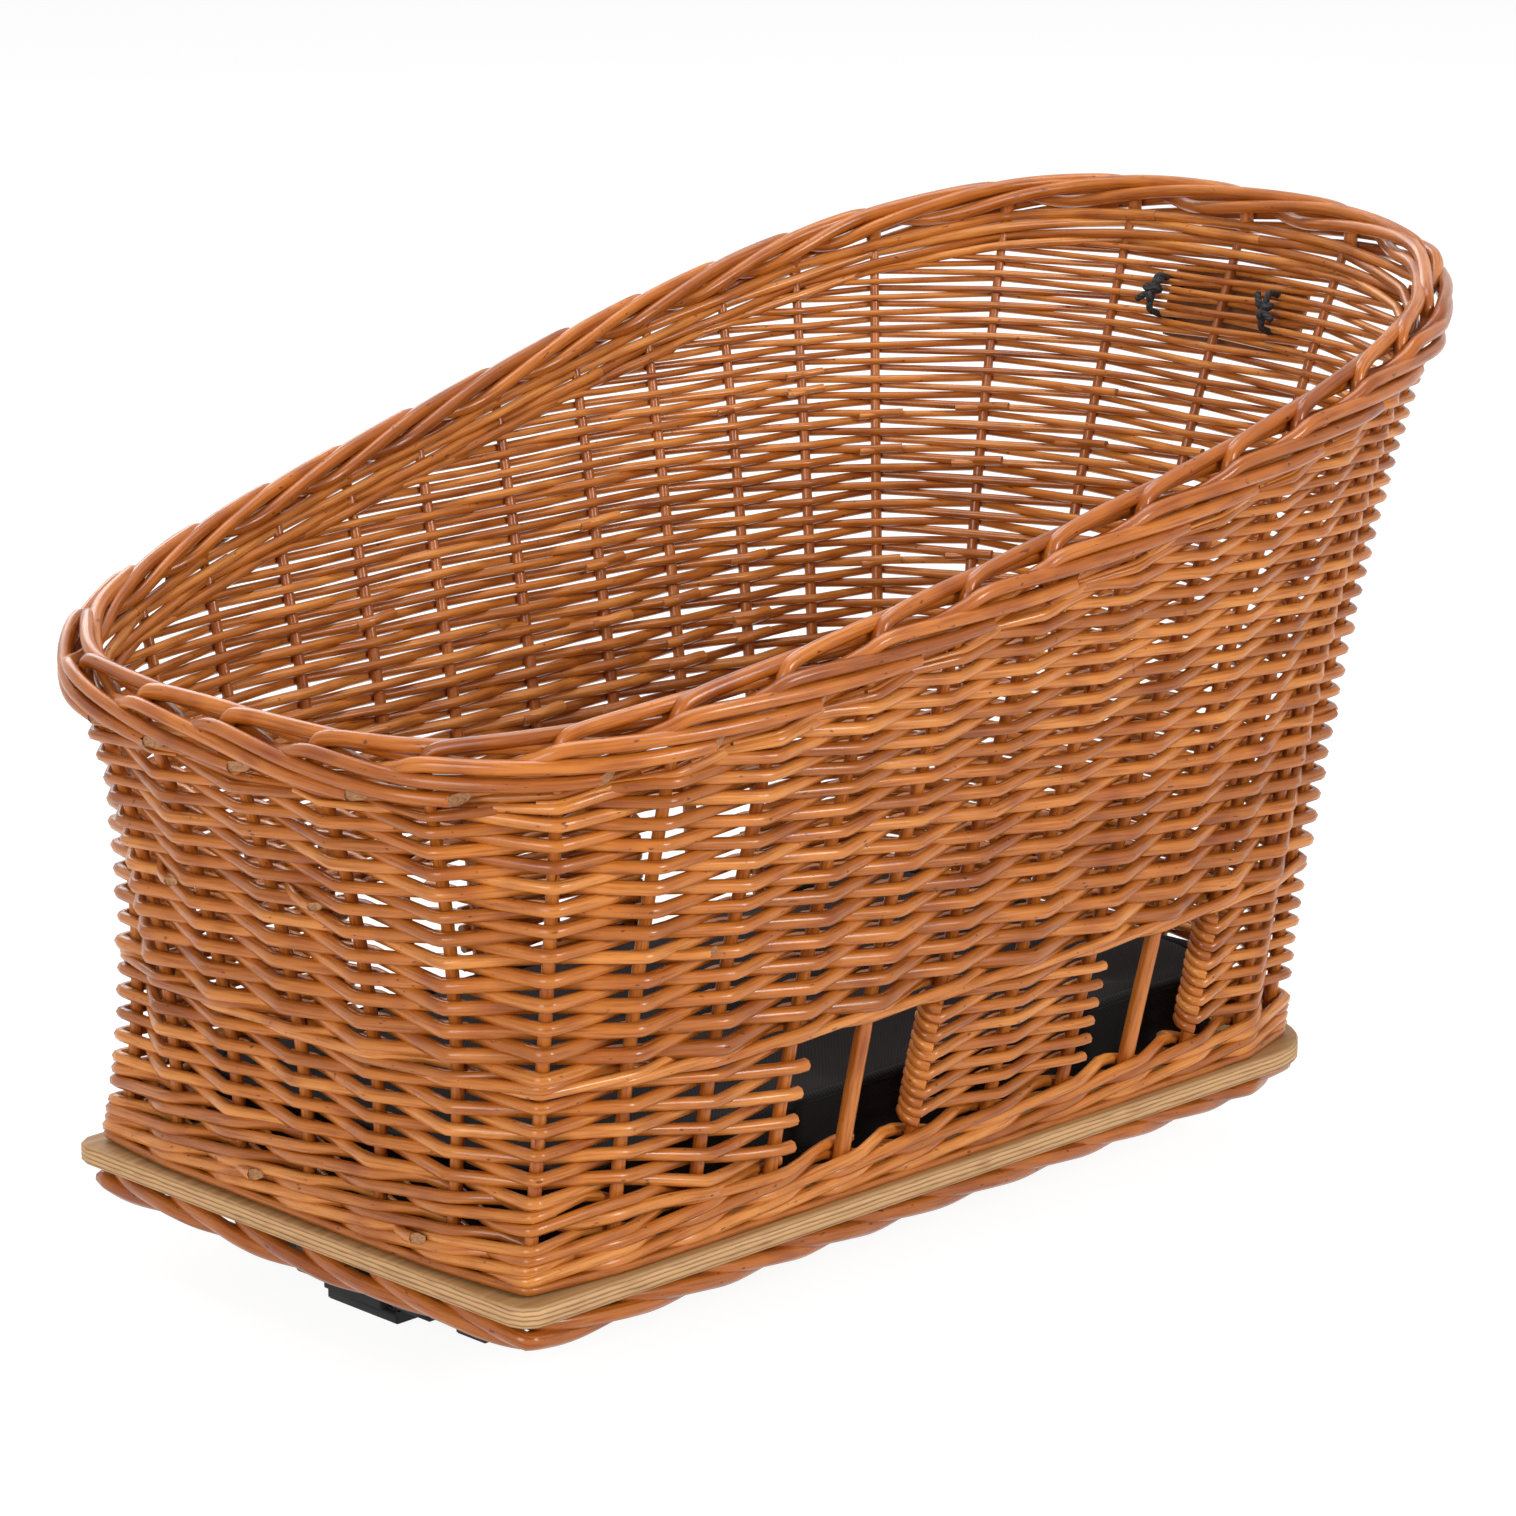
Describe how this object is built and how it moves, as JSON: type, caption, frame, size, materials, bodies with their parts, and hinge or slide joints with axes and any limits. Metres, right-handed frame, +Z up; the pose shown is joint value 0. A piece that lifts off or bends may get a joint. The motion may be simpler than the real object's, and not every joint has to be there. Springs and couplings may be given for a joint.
{
  "type": "bicycle basket",
  "caption": "Flared wicker dog basket for a bicycle's rear carrier, with a raised hood end, barred side windows, a plywood floor, a loose cushion and a carrier adapter underneath.",
  "frame": {"origin": "on the flat underside of the carrier adapter's keel, under the middle of the plywood board", "axes": "+X to the raised hood end, +Y to the basket's left side seen from the low end, +Z up"},
  "size_m": [0.6, 0.3928, 0.3865],
  "materials": {
    "willow": "varnished orange-tan willow, semi-gloss",
    "stake_willow": "varnished willow rod, semi-gloss",
    "plywood": "oiled plywood with bare edges",
    "cushion_fabric": "dark grey twill",
    "label_leather": "plain brown patch",
    "lace": "black braided lace",
    "black_plastic": "moulded black plastic",
    "steel": "zinc plated"
  },
  "bodies": {
    "basket": {"foot_border": "willow", "bottom_wale": "willow", "front_panel": "willow", "left_middle_panel": "willow", "right_middle_panel": "willow", "hood_panel": "willow", "mid_wale": "willow", "upper_weave": "willow", "top_border": "willow", "stake_01": "stake_willow", "stake_02": "stake_willow", "stake_03": "stake_willow", "stake_04": "stake_willow", "stake_05": "stake_willow", "stake_06": "stake_willow", "stake_07": "stake_willow", "stake_08": "stake_willow", "stake_09": "stake_willow", "stake_10": "stake_willow", "stake_11": "stake_willow", "stake_12": "stake_willow", "stake_13": "stake_willow", "stake_14": "stake_willow", "stake_15": "stake_willow", "stake_16": "stake_willow", "stake_17": "stake_willow", "stake_18": "stake_willow", "stake_19": "stake_willow", "stake_20": "stake_willow", "stake_21": "stake_willow", "stake_22": "stake_willow", "stake_23": "stake_willow", "stake_24": "stake_willow", "stake_25": "stake_willow", "stake_26": "stake_willow", "stake_27": "stake_willow", "stake_28": "stake_willow", "stake_29": "stake_willow", "stake_30": "stake_willow", "stake_31": "stake_willow", "stake_32": "stake_willow", "stake_33": "stake_willow", "stake_34": "stake_willow", "base_board": "plywood", "back_label": "label_leather", "label_tie_left": "lace", "label_tie_right": "lace", "adapter_plate": "black_plastic", "adapter_keel": "black_plastic", "latch_spring": "steel", "bolt_1": "steel", "bolt_2": "steel", "bolt_3": "steel", "bolt_4": "steel", "spacer_1": "black_plastic", "spacer_2": "black_plastic", "spacer_3": "black_plastic", "spacer_4": "black_plastic"},
    "cushion": {"floor_cushion": "cushion_fabric"},
    "latch": {"release_latch": "black_plastic"}
  },
  "joints": [
    {"name": "cushion_lift", "type": "slide", "parent": "basket", "child": "cushion", "axis": [0, 0, 1], "range_m": [0, 0.36]},
    {"name": "latch_slide", "type": "slide", "parent": "basket", "child": "latch", "axis": [1, 0, 0], "range_m": [0, 0.008], "stiffness_N_per_m": 400}
  ]
}
